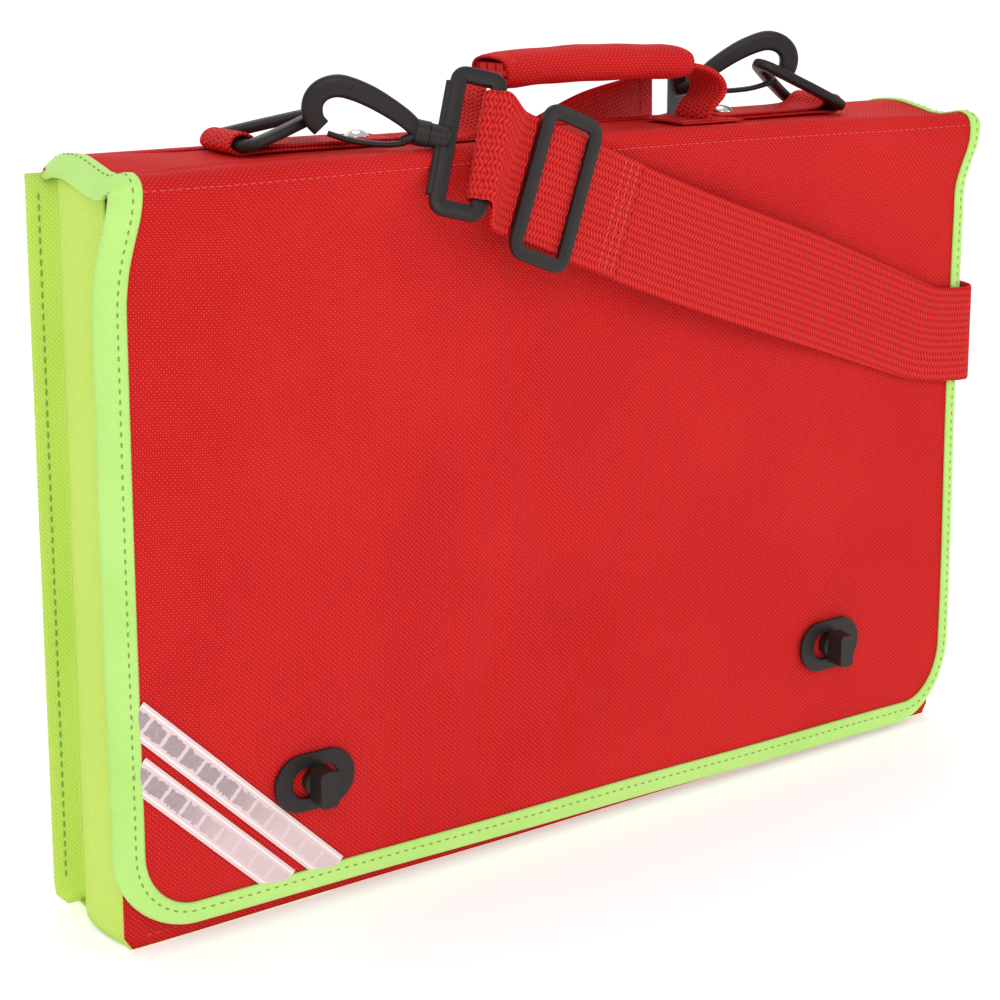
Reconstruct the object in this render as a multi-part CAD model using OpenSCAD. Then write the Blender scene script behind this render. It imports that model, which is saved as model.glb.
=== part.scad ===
// Flap-over document satchel with lime gussets and binding, two turn locks, a carry handle and a
// shoulder strap clipped to two rings. Millimetres, +Z up, X across the width, front at -Y, base at Z = 0.

/* [Body] */
// Width of the back panel
body_w = 448; // [430:1:470]
// Height of the body up to the lid
body_h = 297; // [290:1:305]
// Depth over the front and back panels
body_d = 50; // [46:1:56]
// Thickness of the coated fabric
fabric_t = 1.2; // [0.8:0.1:1.4]

/* [Lid and flap] */
// Width of the lid and flap without the binding
flap_w = 442; // [436:1:446]
// Visible width of the binding
binding_w = 9; // [7:0.5:11]
// Radius of the lower flap corners
flap_r = 31; // [26:1:36]
// Width of the reflective tape
tape_w = 12; // [10:0.5:13]

/* [Turn locks] */
// Distance of each lock from the centre line
lock_x = 138; // [130:1:146]
// Height of the locks above the base
lock_z = 55; // [50:1:60]
// Height of the locked knob
knob_h = 15; // [14:0.5:16]

/* [Handle] */
// Length of the padded grip
grip_l = 96; // [90:1:97]
// Width of the grip front to back
grip_d = 26; // [24:1:28]

/* [Strap] */
// Width of the shoulder webbing
strap_w = 50; // [48:0.5:51]
// Thickness of the shoulder webbing
strap_t = 1.6; // [1.2:0.1:1.8]

/* [Hidden] */
$fn = 48;

half_d = body_d / 2;
// Z of the lid's underside and top
lid_z = body_h + 2.4;
lid_top = lid_z + 2;
// Front surface of the flap, and the ridge where the lid turns down into it
flap_y = -34.2;
ridge_y = -38;
handle_x = 8;
ring_x = 152;
ring_y = -1;
rivet_x = 95;
// Pose of the left loop frame: barrel point, then pitch, yaw and lean
hook_l_at = [-82, -37, 307.5];
hook_l_turn = [12.8, -29.7, 28];
hook_r_at = [93, 20, 316];
hook_r_turn = [12.5, 150, 54];
// Straight run of webbing on the front: start, slope and lean
run_at = [-68, -49, 299.5];
run_slope = 22.9;
run_lean = 6;
run_l = 105;

// ---------- shared shapes ----------

// Rounded rectangle standing in the XZ plane, from y0 toward the back
module sheet_xz(w, z0, z1, y0, t, r) {
    translate([0, y0 + t, 0]) rotate([90, 0, 0]) linear_extrude(t) union() {
        translate([-w / 2, z0 + r]) square([w, z1 - z0 - r]);
        translate([-w / 2 + r, z0]) square([w - 2 * r, r + 1]);
        for (s = [-1, 1]) translate([s * (w / 2 - r), z0 + r]) circle(r);
    }
}

// Long oval lying in XZ, from y0 toward the back
module oval_xz(w, h, y0, t) {
    translate([0, y0 + t, 0]) rotate([90, 0, 0]) linear_extrude(t) union() {
        square([w - h, h], center = true);
        for (s = [-1, 1]) translate([s * (w - h) / 2, 0]) circle(h / 2);
    }
}

// Straight round bar between two points
module bar(a, b, r) {
    d = b - a;
    l = norm(d);
    translate(a) rotate([0, acos(d[2] / l), atan2(d[1], d[0])]) cylinder(r = r, h = l);
}

// Chain of round bars with ball joints
module chain(pts, r) {
    for (i = [0:len(pts) - 2]) bar(pts[i], pts[i + 1], r);
    for (p = pts) translate(p) sphere(r);
}

// Round bar swept along a path; the section turns with the path, and loop joins the last point to the first
module tube(pts, r, loop = false, k = 14) {
    n = len(pts);
    v = [for (i = [0:n - 1]) let (
        a = pts[loop ? (i + n - 1) % n : max(i - 1, 0)],
        b = pts[loop ? (i + 1) % n : min(i + 1, n - 1)],
        d = (b - a) / norm(b - a),
        e = abs(d[1]) > 0.9 ? [0, 0, 1] : [0, 1, 0],
        x = cross(d, e) / norm(cross(d, e)),
        y = cross(d, x))
        each [for (j = [0:k - 1]) pts[i] + r * (cos(360 * j / k) * x + sin(360 * j / k) * y)]];
    f = [for (i = [0:loop ? n - 1 : n - 2], j = [0:k - 1]) let (
        p = k * i + j,
        q = k * i + (j + 1) % k,
        h = k * ((i + 1) % n) - k * i)
        each [[p, p + h, q + h], [p, q + h, q]]];
    caps = loop ? [] : [[for (j = [0:k - 1]) j], [for (j = [0:k - 1]) k * n - 1 - j]];
    polyhedron(points = v, faces = concat(f, caps));
}

// Cross-section of the lid and upper flap, grown by g on both faces
module lid_section(g) {
    polygon([[25, lid_z - g], [25, lid_z + 1.3 + g], [0, lid_z + 1.3 + g], [-34, lid_top + g],
        [ridge_y - g, lid_top - 0.6 + g], [ridge_y - g, lid_z - 4], [flap_y - 1.2 - g, 284],
        [flap_y - g, 266], [flap_y + 1.2 + g, 266], [flap_y + g, 284],
        [ridge_y + 1.3 + g, lid_z - 4], [ridge_y + 1.5 + g, lid_z - g]]);
}

module along_x(x0, x1) {
    translate([x0, 0, 0]) rotate([90, 0, 90]) linear_extrude(x1 - x0) children();
}

module both() {
    for (s = [0, 1]) mirror([s, 0, 0]) children();
}

module at_lock(s) {
    translate([s * lock_x, 0, lock_z]) children();
}

// Local x is the pull direction of the webbing and local z its width
module loop_pose(at, turn) {
    translate(at) rotate([0, turn[0], turn[1]]) rotate([-turn[2], 0, 0]) children();
}

module run_pose() {
    translate(run_at) rotate([0, run_slope, 0]) rotate([-run_lean, 0, 0]) children();
}

// Flat band swept through rows of [centre, direction across its width]
module ribbon(rows, w, t) {
    n = len(rows);
    pts = [for (i = [0:n - 1]) let (
        a = rows[max(i - 1, 0)][0],
        b = rows[min(i + 1, n - 1)][0],
        u = rows[i][1] / norm(rows[i][1]),
        m = cross(b - a, u),
        k = m / norm(m) * t / 2,
        c = rows[i][0])
        each [c - u * w / 2 - k, c - u * w / 2 + k, c + u * w / 2 + k, c + u * w / 2 - k]];
    sides = [for (i = [0:n - 2], j = [0:3]) let (p = 4 * i + j, q = 4 * i + (j + 1) % 4)
        each [[p, q, q + 4], [p, q + 4, p + 4]]];
    caps = [[0, 3, 2], [0, 2, 1], [4 * n - 4, 4 * n - 3, 4 * n - 2], [4 * n - 4, 4 * n - 2, 4 * n - 1]];
    polyhedron(points = pts, faces = concat(caps, sides));
}

// ---------- bag body ----------

module back_panel() {
    sheet_xz(body_w, 0, body_h, half_d - fabric_t, fabric_t, 10);
}

module back_board() {
    sheet_xz(body_w - 30, 8, body_h - 10, half_d - fabric_t - 2.2, 2, 4);
}

module front_panel() {
    sheet_xz(body_w - 18, 0, body_h - 13, -half_d, fabric_t, 3);
}

// One strip: a bellowed wall and a rear flange stitched to the back panel
module gusset() {
    x = body_w / 2 - 9;
    b = half_d - fabric_t - 0.1;
    translate([0, 0, 1.8]) linear_extrude(body_h - 14) polygon([[x - 1.2, -b], [x, -b],
        [x + 2.4, -4], [x + 0.8, b - 3], [x + 8.6, b - 1.2], [x + 8.6, b], [x - 0.4, b],
        [x - 0.4, b - 3], [x + 1.2, -4]]);
}

module gusset_left() {
    mirror([1, 0, 0]) gusset();
}

module gusset_right() {
    gusset();
}

module base_panel() {
    translate([-body_w / 2 + 10, -half_d + fabric_t + 0.1, 0]) {
        cube([body_w - 20, body_d - 2 * fabric_t - 0.2, 1.6]);
    }
}

module base_board() {
    translate([-body_w / 2 + 14, -half_d + 4, 1.8]) cube([body_w - 28, body_d - 11, 2]);
}

// ---------- turn locks ----------

// Foot plate on the front panel, with a hollow boss that reaches through the flap
module lock_base() {
    difference() {
        union() {
            oval_xz(34, 22, -half_d - 2.2, 2);
            translate([0, -half_d - 2, 0]) rotate([90, 0, 0]) cylinder(r = 5.2, h = 10.6);
        }
        translate([0, -half_d - 3, 0]) rotate([90, 0, 0]) cylinder(r = 1.9, h = 12);
    }
}

module lock_base_left() {
    at_lock(-1) lock_base();
}

module lock_base_right() {
    at_lock(1) lock_base();
}

module turn_knob() {
    y = -half_d - 13;
    translate([0, y + 6, 0]) rotate([90, 0, 0]) cylinder(r = 1.5, h = 6.2);
    translate([0, y, 0]) rotate([90, 0, 0]) cylinder(r = 5.6, h = 1.6);
    translate([0, y - 1.4, 0]) rotate([90, 0, 0]) linear_extrude(9) union() {
        square([8, knob_h - 3], center = true);
        square([5, knob_h], center = true);
        for (i = [-1, 1], j = [-1, 1]) translate([i * 2.5, j * (knob_h / 2 - 1.5)]) circle(1.5);
    }
}

module turn_knob_left() {
    at_lock(-1) turn_knob();
}

module turn_knob_right() {
    at_lock(1) turn_knob();
}

module lock_slot(y0, t) {
    for (s = [-1, 1]) at_lock(s) oval_xz(21, 12.6, y0, t);
}

module lock_plate_front() {
    difference() {
        for (s = [-1, 1]) at_lock(s) oval_xz(36, 24, flap_y - 1.6, 1.5);
        lock_slot(flap_y - 3, 5);
    }
}

module lock_plate_back() {
    difference() {
        for (s = [-1, 1]) at_lock(s) oval_xz(32, 20, flap_y + 3.3, 1);
        lock_slot(flap_y, 6);
    }
}

// ---------- lid and flap ----------

module top_band() {
    along_x(-flap_w / 2, flap_w / 2) intersection() {
        lid_section(0);
        translate([-60, 240]) square([100, 100]);
    }
}

// Stiffener under the flat rear part of the lid
module band_board() {
    translate([-flap_w / 2 + 16, -30, lid_z - 1.7]) cube([flap_w - 32, 50, 1.6]);
}

module flap_panel() {
    difference() {
        sheet_xz(flap_w, 4, 265.9, flap_y, 1.2, flap_r);
        lock_slot(flap_y - 1, 4);
    }
}

module flap_board() {
    difference() {
        sheet_xz(flap_w - 26, 17, 262, flap_y + 1.3, 1.9, flap_r - 12);
        lock_slot(flap_y, 6);
    }
}

// Folded tape round the flap and along the ends of the lid
module flap_binding() {
    difference() {
        union() {
            sheet_xz(flap_w + 2.4, 2.8, 266, flap_y - 0.9, 3, flap_r + 1.2);
            both() along_x(flap_w / 2 - binding_w + 1.2, flap_w / 2 + 1.2) difference() {
                lid_section(0.9);
                translate([20, 280]) square([20, 40]);
            }
        }
        sheet_xz(flap_w + 2.4 - 2 * binding_w, 2.8 + binding_w, 300, flap_y - 2, 6, flap_r - 8);
        sheet_xz(flap_w, 4, 265.9, flap_y, 1.2, flap_r);
        along_x(-flap_w / 2, flap_w / 2) lid_section(0);
    }
}

// Strip at 45 degrees across the lower left corner; c is x + z on its centre line
module tape(c) {
    intersection() {
        translate([0, flap_y - 0.1, 0]) rotate([90, 0, 0]) linear_extrude(0.5) {
            translate([c / 2, c / 2]) rotate(-45) square([400, tape_w], center = true);
        }
        sheet_xz(flap_w + 1.4 - 2 * binding_w, 3.6 + binding_w, 260, flap_y - 2, 4, flap_r - 9);
    }
}

module reflective_tape_upper() {
    tape(-115);
}

module reflective_tape_lower() {
    tape(-137);
}

// ---------- rings and their tabs ----------

// Doubled webbing riveted to the lid, its fold closed round the ring's bar
module ring_tab() {
    translate([ring_x, ring_y, lid_top + 4.6]) rotate([90, 0, 0]) difference() {
        translate([0, 0, -12.5]) cylinder(r = 4.2, h = 25);
        translate([0, 0, -13]) cylinder(r = 2.6, h = 26);
    }
    translate([rivet_x - 10.4, ring_y - 12.5, lid_top + 0.2]) cube([ring_x - rivet_x + 8.4, 25, 2.8]);
}

module ring_tab_left() {
    mirror([1, 0, 0]) ring_tab();
}

module ring_tab_right() {
    ring_tab();
}

module rivet() {
    for (s = [-1, 1]) translate([s * rivet_x, ring_y, lid_top + 3]) intersection() {
        translate([0, 0, -5.9]) sphere(8);
        cylinder(r = 5, h = 4);
    }
}

// Bar across the tab, and two arms that meet in a rounded nose
module ring_shape() {
    rotate([90, 0, 0]) tube([[0, 0, -14], [0, 0, 14], [-0.8, 0, 16.2], [-3, 0, 17], [-14, 0, 13.4],
        [-32, 0, 6], [-37, 0, 3], [-38.6, 0, 0], [-37, 0, -3], [-32, 0, -6], [-14, 0, -13.4],
        [-3, 0, -17], [-0.8, 0, -16.2]], 2, loop = true);
}

module ring_left() {
    translate([-ring_x, ring_y, lid_top + 4.6]) rotate([0, -13, 0]) mirror([1, 0, 0]) ring_shape();
}

module ring_right() {
    translate([ring_x, ring_y, lid_top + 4.6]) rotate([0, 29, 0]) ring_shape();
}

// ---------- snap hooks and loop frames ----------

// Loop for the webbing, with the barrel that the hook's shank turns in
module strap_frame() {
    difference() {
        union() {
            chain([[0, 0, -28], [0, 0, 28], [15, 0, 28], [15, 0, -28], [0, 0, -28]], 2.4);
            translate([-8, 0, 0]) rotate([0, 90, 0]) cylinder(r = 4.6, h = 9);
        }
        translate([-9, 0, 0]) rotate([0, 90, 0]) cylinder(r = 1.9, h = 8);
    }
}

module strap_frame_left() {
    loop_pose(hook_l_at, hook_l_turn) translate([7, 0, 0]) strap_frame();
}

module strap_frame_right() {
    loop_pose(hook_r_at, hook_r_turn) translate([7, 0, 0]) strap_frame();
}

// Shank, collar and curved nose; the hook lies in local XZ and points to local -X
module hook_shape() {
    translate([-4, 0, 0]) rotate([0, 90, 0]) cylinder(r = 1.6, h = 9);
    translate([-5.4, 0, 0]) rotate([0, 90, 0]) cylinder(r = 4.4, h = 4);
    tube([[-3, 0, 0], [-7, 0, 1.5], [-12, 0, 5], [-28, 0, 10.5], [-38, 0, 12], [-42, 0, 11.2],
        [-45.4, 0, 8.6], [-47.6, 0, 5], [-48, 0, 0.5], [-46.8, 0, -3.4], [-43.6, 0, -6.2]], 2.3);
    tube([[-4, 0, 0], [-7, 0, -2], [-10.5, 0, -4.4]], 2.3);
}

module hook_left() {
    translate(hook_l_at) rotate([0, hook_l_turn[0], hook_l_turn[1]]) hook_shape();
}

module hook_right() {
    translate(hook_r_at) rotate([0, hook_r_turn[0], hook_r_turn[1]]) hook_shape();
}

// Sprung bar that closes the mouth of the hook
module gate_shape() {
    tube([[-13.6, 0, -5.6], [-20, 0, -7.4], [-28, 0, -8.4], [-39.6, 0, -7.4]], 1.5);
}

module gate_left() {
    translate(hook_l_at) rotate([0, hook_l_turn[0], hook_l_turn[1]]) gate_shape();
}

module gate_right() {
    translate(hook_r_at) rotate([0, hook_r_turn[0], hook_r_turn[1]]) gate_shape();
}

// ---------- handle ----------

// Stitched feet that hold the handle's legs
module handle_anchor() {
    for (s = [-1, 1]) translate([handle_x + s * 62 - 14, -19, lid_top + 0.2]) cube([28, 26, 1.6]);
}

// Leg of webbing, with its foot narrowed so that it can rock
module handle_leg(x0, x1) {
    translate([handle_x, -6, lid_top]) intersection() {
        rotate([90, 0, 0]) translate([0, 0, -12.5]) linear_extrude(25) {
            polygon([[x0 - 1.2, 2.4], [x0 + 1.2, 2.4], [x1 + 1.2, 19.8], [x1 - 1.2, 19.8]]);
        }
        rotate([0, 90, 0]) translate([-14.9, 0, -80]) cylinder(r = 12.6, h = 160);
    }
}

module handle_webbing() {
    handle_leg(-54, -38);
    handle_leg(54, 50);
}

module handle_grip() {
    translate([handle_x + 7, -6, lid_top + 26]) rotate([0, 90, 0]) linear_extrude(grip_l, center = true) {
        union() {
            square([12, grip_d - 8], center = true);
            square([4, grip_d], center = true);
            for (i = [-1, 1], j = [-1, 1]) translate([i * 2, j * (grip_d / 2 - 4)]) circle(4);
        }
    }
}

// ---------- shoulder strap ----------

// Adjuster: outer frame over the webbing, centre bar behind it
module slider() {
    run_pose() translate([39, 0, 0]) {
        chain([[-12, -1.2, -29], [-12, -1.2, 29], [12, -1.2, 29], [12, -1.2, -29], [-12, -1.2, -29]], 2);
    }
}

// Sewn end of the webbing, riding on the adjuster
module strap_end() {
    run_pose() translate([55.6, -2.6, -strap_w / 2]) cube([26, strap_t, strap_w]);
}

module strap_front() {
    run_pose() translate([14, 2.2, -strap_w / 2 + 0.5]) cube([run_l - 14, strap_t, strap_w - 1]);
    ribbon([[[31, -46, 257.6], [0.38, 0.1, 0.92]], [[60, -44.8, 246.6], [0.37, 0.09, 0.92]],
        [[90, -43, 236], [0.37, 0.07, 0.92]], [[120, -41, 225.2], [0.36, 0.04, 0.93]],
        [[150, -39, 214.4], [0.36, 0.02, 0.93]], [[176, -37.6, 205], [0.35, 0, 0.93]],
        [[192, -37.2, 199], [0.2, 0, 0.98]], [[206, -37, 197], [0, 0, 1]],
        [[221, -37, 197], [0, 0, 1]]], strap_w, strap_t);
}

module strap_side() {
    ribbon([[[221.5, -37, 197], [0, 0, 1]], [[225, -36, 197], [0, 0, 1]],
        [[227.4, -32, 197], [0, 0, 1]], [[228, -20, 197], [0, 0, 1]], [[228, 20, 197], [0, 0, 1]],
        [[227.6, 25, 197], [0, 0, 1]], [[224, 27.4, 197], [0, 0, 1]]], strap_w, strap_t);
}

// Two layers behind the back panel, joined by a diagonal fold
module strap_back() {
    ribbon([[[223.5, 27.4, 197], [0, 0, 1]], [[0, 27.4, 197], [0, 0, 1]],
        [[-130, 27.4, 197], [0, 0, 1]]], strap_w, strap_t);
    ribbon([[[-130, 27.4, 197], [0, 0, 1]], [[-150, 27.6, 200], [0.3, 0, 1]],
        [[-157, 28.6, 208], [0.6, 0, 0.8]], [[-150, 29.8, 215], [-0.1, 0, 1]],
        [[-130, 30, 221], [-0.3, 0, 0.95]], [[-100, 30, 233], [-0.37, 0, 0.93]]], strap_w, strap_t);
}

module strap_over() {
    ribbon([[[-99, 30, 233.5], [-0.37, 0, 0.93]], [[-60, 31, 249], [-0.37, -0.06, 0.92]],
        [[-20, 33, 265], [-0.37, -0.16, 0.91]], [[20, 36, 282], [-0.36, -0.34, 0.87]],
        [[45, 37, 295], [-0.35, -0.52, 0.78]], [[66, 34, 306], [-0.3, -0.68, 0.66]]],
        strap_w - 2, strap_t);
}

back_panel();
back_board();
front_panel();
gusset_left();
gusset_right();
base_panel();
base_board();
lock_base_left();
lock_base_right();
turn_knob_left();
turn_knob_right();
top_band();
band_board();
flap_panel();
flap_board();
flap_binding();
reflective_tape_upper();
reflective_tape_lower();
lock_plate_front();
lock_plate_back();
ring_tab_left();
ring_tab_right();
rivet();
handle_anchor();
handle_webbing();
handle_grip();
ring_left();
ring_right();
hook_left();
hook_right();
gate_left();
gate_right();
strap_frame_left();
strap_frame_right();
slider();
strap_front();
strap_side();
strap_back();
strap_over();
strap_end();
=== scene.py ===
# %% [markdown]
# # A flap-over document satchel
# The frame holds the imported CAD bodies. Every soft piece below is made in mesh code on top of it, in
# metres, and rides on a body by name. Lengths are typed in millimetres and turned into metres once.

# %% Load the frame
import math

import bmesh
import bpy
import numpy as np
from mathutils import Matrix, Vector


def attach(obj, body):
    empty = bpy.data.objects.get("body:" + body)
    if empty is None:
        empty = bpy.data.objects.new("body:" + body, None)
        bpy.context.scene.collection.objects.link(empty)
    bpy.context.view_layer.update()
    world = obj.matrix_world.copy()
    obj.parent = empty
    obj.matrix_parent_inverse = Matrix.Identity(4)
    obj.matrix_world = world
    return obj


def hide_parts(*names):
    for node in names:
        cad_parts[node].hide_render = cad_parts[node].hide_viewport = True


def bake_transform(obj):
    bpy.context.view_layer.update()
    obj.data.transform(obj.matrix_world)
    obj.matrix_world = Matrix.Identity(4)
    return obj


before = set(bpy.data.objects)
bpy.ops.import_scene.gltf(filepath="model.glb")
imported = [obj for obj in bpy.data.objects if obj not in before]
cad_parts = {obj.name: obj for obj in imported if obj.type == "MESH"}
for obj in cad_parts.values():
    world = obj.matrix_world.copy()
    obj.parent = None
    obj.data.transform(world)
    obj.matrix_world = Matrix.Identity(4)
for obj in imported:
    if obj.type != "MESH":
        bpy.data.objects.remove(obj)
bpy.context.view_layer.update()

# %% [markdown]
# ## The camera
# The bag is seen from the front left and a little above, with its upright edges nearly parallel. A
# level camera with the lens shifted down gives that, as on a product table.

# %% Camera
cam_data = bpy.data.cameras.new("camera")
cam = bpy.data.objects.new("camera", cam_data)
bpy.context.collection.objects.link(cam)
azimuth, elevation = math.radians(-34.36), math.radians(10.54)
level = math.cos(elevation)
back = Vector((math.sin(azimuth) * level, -math.cos(azimuth) * level, math.sin(elevation)))
cam.location = (-0.5132, -0.7145, 0.3919)
cam.rotation_euler = back.to_track_quat("Z", "Y").to_euler()
cam_data.sensor_width = 36
cam_data.lens = 74.63
cam_data.shift_y = -0.20
cam_data.clip_start = 0.02
bpy.context.scene.camera = cam
bpy.context.scene.view_settings.view_transform = "Standard"
print("camera at", tuple(round(c, 3) for c in cam.location))

# %% [markdown]
# ## From points to a mesh
# A sewn bag is mostly sheets, ribbons and rows of thread. All of them start as points in millimetres.
# A smooth curve through a few chosen points keeps the lists short, and one function turns points and
# faces into a mesh whose texture map is in metres, so that every weave keeps its real size.

# %% Smooth paths and meshes
def smooth_path(points, per=6, closed=False):
    """Points on a smooth curve through the given ones (Catmull-Rom)."""
    p = [np.array(q, float) for q in points]
    n, out = len(p), []
    for i in range(n if closed else n - 1):
        a = p[(i - 1) % n] if closed or i > 0 else p[i]
        b, c = p[i % n], p[(i + 1) % n]
        d = p[(i + 2) % n] if closed or i + 2 < n else c
        for k in range(per):
            t = k / per
            bend = (2 * a - 5 * b + 4 * c - d) * t * t + (3 * b - a - 3 * c + d) * t ** 3
            out.append(0.5 * (2 * b + (c - a) * t + bend))
    if not closed:
        out.append(p[-1])
    return np.array(out)


def unit(v):
    v = np.asarray(v, float)
    return v / max(np.linalg.norm(v), 1e-9)


def make_mesh(name, verts_mm, faces, uvs=None):
    """A mesh object from points in millimetres, with its map in metres if uvs are given."""
    mesh = bpy.data.meshes.new(name)
    mesh.from_pydata([tuple(float(c) / 1000 for c in v) for v in verts_mm], [], faces)
    if uvs is not None:
        layer = mesh.uv_layers.new(name="UVMap")
        for loop in mesh.loops:
            u, v = uvs[loop.vertex_index]
            layer.data[loop.index].uv = (float(u) / 1000, float(v) / 1000)
    for poly in mesh.polygons:
        poly.use_smooth = True
    mesh.validate()
    mesh.update()
    obj = bpy.data.objects.new(name, mesh)
    bpy.context.collection.objects.link(obj)
    return obj


def dress(obj, material, body, slot, *nodes):
    """Give a piece its material and body, and hide the CAD nodes that it stands for."""
    obj.data.materials.clear()
    obj.data.materials.append(material)
    if body:
        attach(obj, body)
    if nodes:
        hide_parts(*nodes)
    return obj


print("mesh helpers ready")

# %% [markdown]
# ## Sheets of cloth
# A sheet is a grid: rows of points down it, columns across. Its map is measured along the cloth itself,
# as a tape measure would lie, so the weave doesn't stretch where the sheet bends. Solidify then gives
# the cloth its thickness towards the inside.

# %% Sheets of cloth
def lengths_along(points, axis):
    """Distance travelled from the first point of each row (axis 1) or column (axis 0)."""
    travelled = np.cumsum(np.linalg.norm(np.diff(points, axis=axis), axis=2), axis=axis)
    return np.insert(travelled, 0, 0.0, axis=axis)


def cloth_map(rows):
    """The map of a sheet: across it from its middle, and down it from its first row."""
    points = np.array(rows, float)
    across, down = lengths_along(points, 1), lengths_along(points, 0)
    middle = across[:, -1:] / 2
    return list(zip((across - middle).ravel(), down.ravel()))


def grid_mesh(name, rows, thick=0.0, uvs=None):
    """A sheet from rows of points, made solid by a Solidify modifier."""
    nr, nc = len(rows), len(rows[0])
    verts = [p for row in rows for p in row]
    faces = []
    for r in range(nr - 1):
        for c in range(nc - 1):
            corner = r * nc + c
            faces.append((corner, corner + nc, corner + nc + 1, corner + 1))
    obj = make_mesh(name, verts, faces, cloth_map(rows) if uvs is None else uvs)
    if thick:
        mod = obj.modifiers.new("thickness", "SOLIDIFY")
        mod.thickness = thick / 1000
        mod.offset = -1
    return obj


print("sheet helper ready")

# %% [markdown]
# ## Moulded bars
# Rings, frames, hooks and gates are bars that bend. A sweep carries one rounded section along a path.
# The section stands on a side vector given once, which keeps the bar from twisting as it turns.

# %% Moulded bars
def sweep(name, path, section, side, closed=False):
    """Sweep a closed section over a path: its pairs lie along the side vector and the normal."""
    path = np.array(path, float)
    n, k = len(path), len(section)
    side = np.array(side, float)
    verts, uvs, travelled = [], [], 0.0
    outline = np.array(list(section) + [section[0]])
    around = np.concatenate([[0], np.cumsum(np.linalg.norm(np.diff(outline, axis=0), axis=1))])
    for i in range(n):
        a = path[(i - 1) % n] if closed else path[max(i - 1, 0)]
        b = path[(i + 1) % n] if closed else path[min(i + 1, n - 1)]
        t = unit(b - a)
        s = unit(side - t * float(np.dot(side, t)))
        m = np.cross(t, s)
        if i:
            travelled += float(np.linalg.norm(path[i] - path[i - 1]))
        for j, (p, q) in enumerate(section):
            verts.append(path[i] + p * s + q * m)
            uvs.append((travelled, around[j]))
    faces = []
    for i in range(n if closed else n - 1):
        for j in range(k):
            a, b = i * k + j, i * k + (j + 1) % k
            c, d = ((i + 1) % n) * k + (j + 1) % k, ((i + 1) % n) * k + j
            faces.append((a, b, c, d))
    if not closed:
        faces += [tuple(range(k - 1, -1, -1)), tuple(range((n - 1) * k, n * k))]
    return make_mesh(name, verts, faces, uvs)


def oval(a, b, k=14, square=1.0):
    """A rounded section; square under 1 makes it boxier."""
    out = []
    for i in range(k):
        t = 2 * math.pi * i / k
        c, s = math.cos(t), math.sin(t)
        out.append((a * math.copysign(abs(c) ** square, c), b * math.copysign(abs(s) ** square, s)))
    return out


print("bar helper ready")

# %% [markdown]
# ## Webbing
# Webbing is a flat band with two thin woven edges. It is given by rows: a centre, and a vector across
# its full width. The vector may turn from row to row, so one list can slope, twist and fold. The map
# runs along the band, so the herringbone follows every turn.

# %% Webbing
def ribbon(name, rows, thick, per=5):
    """A flat band through rows of (centre, full width vector), with thinner edges."""
    flat = smooth_path([list(c) + list(w) for c, w in rows], per)
    verts, uvs, faces, travelled = [], [], [], 0.0
    steps = np.concatenate([[-0.5, -0.492], np.linspace(-0.47, 0.47, 11), [0.492, 0.5]])
    m = len(steps)
    for i, row in enumerate(flat):
        c, w = row[:3], row[3:]
        t = unit(flat[min(i + 1, len(flat) - 1)][:3] - flat[max(i - 1, 0)][:3])
        n = unit(np.cross(t, w))
        if i:
            travelled += float(np.linalg.norm(c - flat[i - 1][:3]))
        wide = np.linalg.norm(w)
        edge = [0.25 if abs(s) == 0.5 else 0.75 if abs(s) > 0.49 else 1.0 for s in steps]
        for sgn in (1, -1):
            order = range(m) if sgn == 1 else range(m - 1, -1, -1)
            for j in order:
                verts.append(c + w * steps[j] + n * (sgn * edge[j] * thick / 2))
                uvs.append((travelled, steps[j] * wide))
    k = 2 * m
    for i in range(len(flat) - 1):
        for j in range(k):
            faces.append((i * k + j, (i + 1) * k + j, (i + 1) * k + (j + 1) % k, i * k + (j + 1) % k))
    faces += [tuple(range(k)), tuple(range(len(flat) * k - 1, (len(flat) - 1) * k - 1, -1))]
    return make_mesh(name, verts, faces, uvs), flat[:, :3]


print("webbing helper ready")

# %% [markdown]
# ## Stitches
# Thread shows as short raised dashes with a dip between them. Each dash is half a tube that dives into
# the cloth at both ends, which catches the light as real thread does. A row of dashes is one mesh.

# %% Stitches
thread_rings = ((0.0, 0.35, -0.2), (0.18, 1.0, 0.55), (0.5, 1.05, 0.8), (0.82, 1.0, 0.55), (1.0, 0.35, -0.2))


def stitches(name, lines, pitch, long, radius, material, body, slot):
    """Rows of thread dashes. Each line is a list of (point, outward normal)."""
    verts, faces = [], []
    for line in lines:
        pts = np.array([p for p, _ in line], float)
        nrm = np.array([n for _, n in line], float)
        along = np.concatenate([[0], np.cumsum(np.linalg.norm(np.diff(pts, axis=0), axis=1))])
        for s in np.arange(pitch * 0.6, along[-1] - pitch * 0.3, pitch):
            a, b = ([np.interp(v, along, pts[:, q]) for q in range(3)] for v in (s - long / 2, s + long / 2))
            a, b = np.array(a), np.array(b)
            n = unit([np.interp(s, along, nrm[:, q]) for q in range(3)])
            t = unit(b - a)
            side = np.cross(t, n)
            base = len(verts)
            for f, w, h in thread_rings:
                c = a + (b - a) * f
                for q in range(5):
                    ang = math.pi * q / 4
                    rise = math.sin(ang) * radius * h * 1.2
                    verts.append(c + side * math.cos(ang) * radius * w + n * rise)
            for r in range(4):
                for q in range(4):
                    v = base + r * 5 + q
                    faces.append((v, v + 1, v + 6, v + 5))
    return dress(make_mesh(name, verts, faces), material, body, slot)


print("stitch helper ready")

# %% [markdown]
# ## Small helpers for finishes
# Each finish is a small node graph. These helpers add one node each: a sum, a blend of two colours, a
# soft cloudy noise, a bump. They keep the recipes below as short as a list of steps.

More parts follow.
